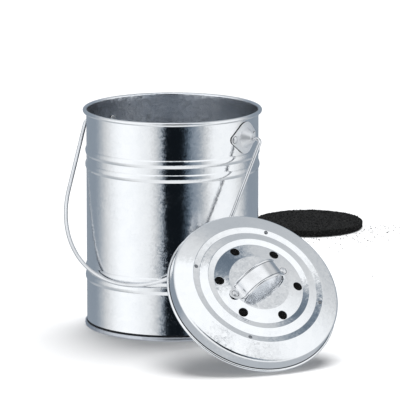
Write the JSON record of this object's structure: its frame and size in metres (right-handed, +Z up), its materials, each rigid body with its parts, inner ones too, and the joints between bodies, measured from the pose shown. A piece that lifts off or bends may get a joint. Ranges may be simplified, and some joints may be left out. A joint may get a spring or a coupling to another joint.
{
  "type": "compost caddy",
  "caption": "Galvanised steel compost pail with a rolled rim, swaged beads and a swinging wire bail, a vented lift-off lid with a strap handle, and round carbon filters.",
  "frame": {"origin": "centre of the pail's base, on the ground", "axes": "+Z up, +X to the right-hand ear along the bail's pivots; the bail hangs at -Y"},
  "size_m": [0.4414, 0.7553, 0.2297],
  "materials": {
    "galvanised_sheet": "bright galvanised sheet, mirror-like with a faint spangle",
    "base_sheet": "bright galvanised sheet",
    "lid_sheet": "bright galvanised sheet with a faint spangle",
    "ear_plate": "bright zinc-plated pressing",
    "zinc_wire": "bright zinc-plated wire",
    "rivet_steel": "bright steel rivet",
    "strap_sheet": "bright zinc-plated strap",
    "clip_sheet": "zinc-plated spring sheet",
    "carbon_felt": "black carbon-loaded felt, matt and fibrous"
  },
  "bodies": {
    "pail": {"pail_wall": "galvanised_sheet", "rim_wire": "zinc_wire", "base_pan": "base_sheet", "ear_right": "ear_plate", "ear_left": "ear_plate", "ear_rivet_right_front": "rivet_steel", "ear_rivet_right_rear": "rivet_steel", "ear_rivet_left_front": "rivet_steel", "ear_rivet_left_rear": "rivet_steel"},
    "bail": {"bail": "zinc_wire"},
    "lid": {"lid_pan": "lid_sheet", "lid_hem_wire": "zinc_wire", "handle_strap": "strap_sheet", "handle_rivet_lower": "rivet_steel", "handle_rivet_upper": "rivet_steel", "filter_clip_1": "clip_sheet", "filter_clip_2": "clip_sheet", "filter_clip_3": "clip_sheet", "filter_clip_4": "clip_sheet", "clip_rivet_1": "rivet_steel", "clip_rivet_2": "rivet_steel", "clip_rivet_3": "rivet_steel", "clip_rivet_4": "rivet_steel", "fitted_filter": "carbon_felt"},
    "filter": {"carbon_filter": "carbon_felt"}
  },
  "joints": [
    {"name": "bail_swing", "type": "hinge", "parent": "pail", "child": "bail", "pos_m": [0, 0, 0.2065], "axis": [-1, 0, 0], "range_deg": [0, 296.4]},
    {"name": "lid_lift", "type": "slide", "parent": "pail", "child": "lid", "axis": [0.6033, -0.3918, 0.6947], "range_m": [0, 0.12]},
    {"name": "filter_lift", "type": "slide", "parent": "pail", "child": "filter", "axis": [0, 0, 1], "range_m": [0, 0.1]}
  ]
}
